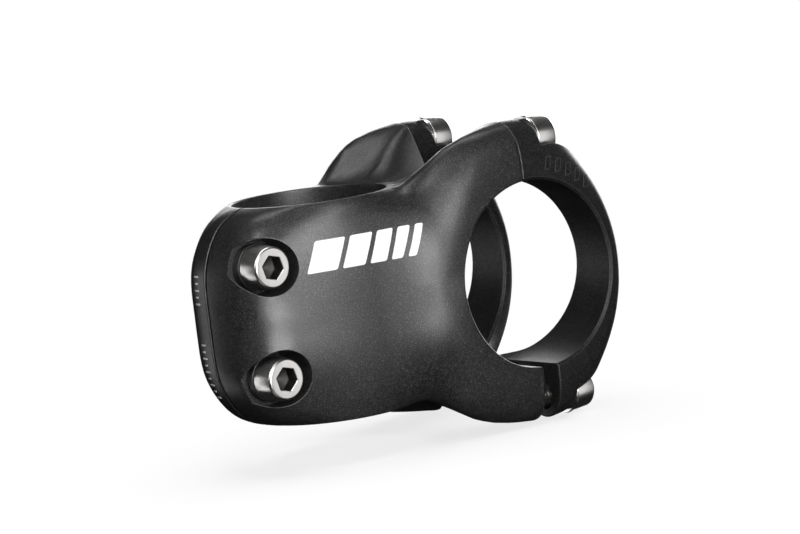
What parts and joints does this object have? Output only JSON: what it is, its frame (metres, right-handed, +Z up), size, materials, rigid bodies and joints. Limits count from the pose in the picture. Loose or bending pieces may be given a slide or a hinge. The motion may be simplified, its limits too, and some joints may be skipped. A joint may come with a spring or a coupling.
{
  "type": "handlebar stem",
  "caption": "Short bicycle handlebar stem: Y-shaped carbon body with a split steerer clamp, separate handlebar faceplates, and screwed, washered bolts.",
  "frame": {"origin": "on the steerer axis, halfway up the steerer clamp", "axes": "+X forward to the handlebar, +Y to the rider's left, +Z up along the steerer"},
  "size_m": [0.081, 0.0428, 0.0572],
  "materials": {
    "carbon_body": "satin moulded carbon composite, fine grain",
    "anodised_plate": "black anodised, bead-blasted",
    "titanium_bolt": "polished titanium grey",
    "steel_washer": "bright",
    "black_washer": "black oxide",
    "sleeve_alloy": "machined"
  },
  "bodies": {
    "stem": {"stem_body": "carbon_body", "upper_right_arm_sleeve": "sleeve_alloy", "upper_left_arm_sleeve": "sleeve_alloy", "lower_right_arm_sleeve": "sleeve_alloy", "lower_left_arm_sleeve": "sleeve_alloy", "upper_ear_sleeve": "sleeve_alloy", "lower_ear_sleeve": "sleeve_alloy"},
    "right_faceplate": {"right_faceplate": "anodised_plate"},
    "upper_right_bar_washer": {"upper_right_bar_washer": "steel_washer"},
    "upper_right_bar_bolt": {"upper_right_bar_bolt": "titanium_bolt"},
    "lower_right_bar_washer": {"lower_right_bar_washer": "steel_washer"},
    "lower_right_bar_bolt": {"lower_right_bar_bolt": "titanium_bolt"},
    "left_faceplate": {"left_faceplate": "anodised_plate"},
    "upper_left_bar_washer": {"upper_left_bar_washer": "steel_washer"},
    "upper_left_bar_bolt": {"upper_left_bar_bolt": "titanium_bolt"},
    "lower_left_bar_washer": {"lower_left_bar_washer": "steel_washer"},
    "lower_left_bar_bolt": {"lower_left_bar_bolt": "titanium_bolt"},
    "upper_steerer_washer": {"upper_steerer_washer": "black_washer"},
    "upper_steerer_bolt": {"upper_steerer_bolt": "titanium_bolt"},
    "lower_steerer_washer": {"lower_steerer_washer": "black_washer"},
    "lower_steerer_bolt": {"lower_steerer_bolt": "titanium_bolt"}
  },
  "joints": [
    {"name": "right_faceplate_lift", "type": "slide", "parent": "stem", "child": "right_faceplate", "axis": [1, 0, 0], "range_m": [0, 0.03]},
    {"name": "upper_right_bar_bolt_draw", "type": "slide", "parent": "right_faceplate", "child": "upper_right_bar_washer", "axis": [1, 0, 0], "range_m": [0, 0.016]},
    {"name": "upper_right_bar_bolt_turn", "type": "hinge", "parent": "upper_right_bar_washer", "child": "upper_right_bar_bolt", "pos_m": [0.035, -0.01565, 0.0247], "axis": [1, 0, 0], "range_deg": [0, 7201]},
    {"name": "lower_right_bar_bolt_draw", "type": "slide", "parent": "right_faceplate", "child": "lower_right_bar_washer", "axis": [1, 0, 0], "range_m": [0, 0.016]},
    {"name": "lower_right_bar_bolt_turn", "type": "hinge", "parent": "lower_right_bar_washer", "child": "lower_right_bar_bolt", "pos_m": [0.035, -0.01565, -0.0239], "axis": [1, 0, 0], "range_deg": [0, 7201]},
    {"name": "left_faceplate_lift", "type": "slide", "parent": "stem", "child": "left_faceplate", "axis": [1, 0, 0], "range_m": [0, 0.03]},
    {"name": "upper_left_bar_bolt_draw", "type": "slide", "parent": "left_faceplate", "child": "upper_left_bar_washer", "axis": [1, 0, 0], "range_m": [0, 0.016]},
    {"name": "upper_left_bar_bolt_turn", "type": "hinge", "parent": "upper_left_bar_washer", "child": "upper_left_bar_bolt", "pos_m": [0.035, 0.01565, 0.0247], "axis": [1, 0, 0], "range_deg": [0, 7201]},
    {"name": "lower_left_bar_bolt_draw", "type": "slide", "parent": "left_faceplate", "child": "lower_left_bar_washer", "axis": [1, 0, 0], "range_m": [0, 0.016]},
    {"name": "lower_left_bar_bolt_turn", "type": "hinge", "parent": "lower_left_bar_washer", "child": "lower_left_bar_bolt", "pos_m": [0.035, 0.01565, -0.0239], "axis": [1, 0, 0], "range_deg": [0, 7201]},
    {"name": "upper_steerer_bolt_draw", "type": "slide", "parent": "stem", "child": "upper_steerer_washer", "axis": [0, -1, 0], "range_m": [0, 0.026]},
    {"name": "upper_steerer_bolt_turn", "type": "hinge", "parent": "upper_steerer_washer", "child": "upper_steerer_bolt", "pos_m": [-0.0187, 0, 0.0101], "axis": [0, -1, 0], "range_deg": [0, 11701]},
    {"name": "lower_steerer_bolt_draw", "type": "slide", "parent": "stem", "child": "lower_steerer_washer", "axis": [0, -1, 0], "range_m": [0, 0.026]},
    {"name": "lower_steerer_bolt_turn", "type": "hinge", "parent": "lower_steerer_washer", "child": "lower_steerer_bolt", "pos_m": [-0.0187, 0, -0.0101], "axis": [0, -1, 0], "range_deg": [0, 11701]}
  ],
  "couplings": [
    {"joint": "upper_right_bar_bolt_turn", "follows": "upper_right_bar_bolt_draw", "rad_per_m": 7854},
    {"joint": "lower_right_bar_bolt_turn", "follows": "lower_right_bar_bolt_draw", "rad_per_m": 7854},
    {"joint": "upper_left_bar_bolt_turn", "follows": "upper_left_bar_bolt_draw", "rad_per_m": 7854},
    {"joint": "lower_left_bar_bolt_turn", "follows": "lower_left_bar_bolt_draw", "rad_per_m": 7854},
    {"joint": "upper_steerer_bolt_turn", "follows": "upper_steerer_bolt_draw", "rad_per_m": 7854},
    {"joint": "lower_steerer_bolt_turn", "follows": "lower_steerer_bolt_draw", "rad_per_m": 7854}
  ]
}
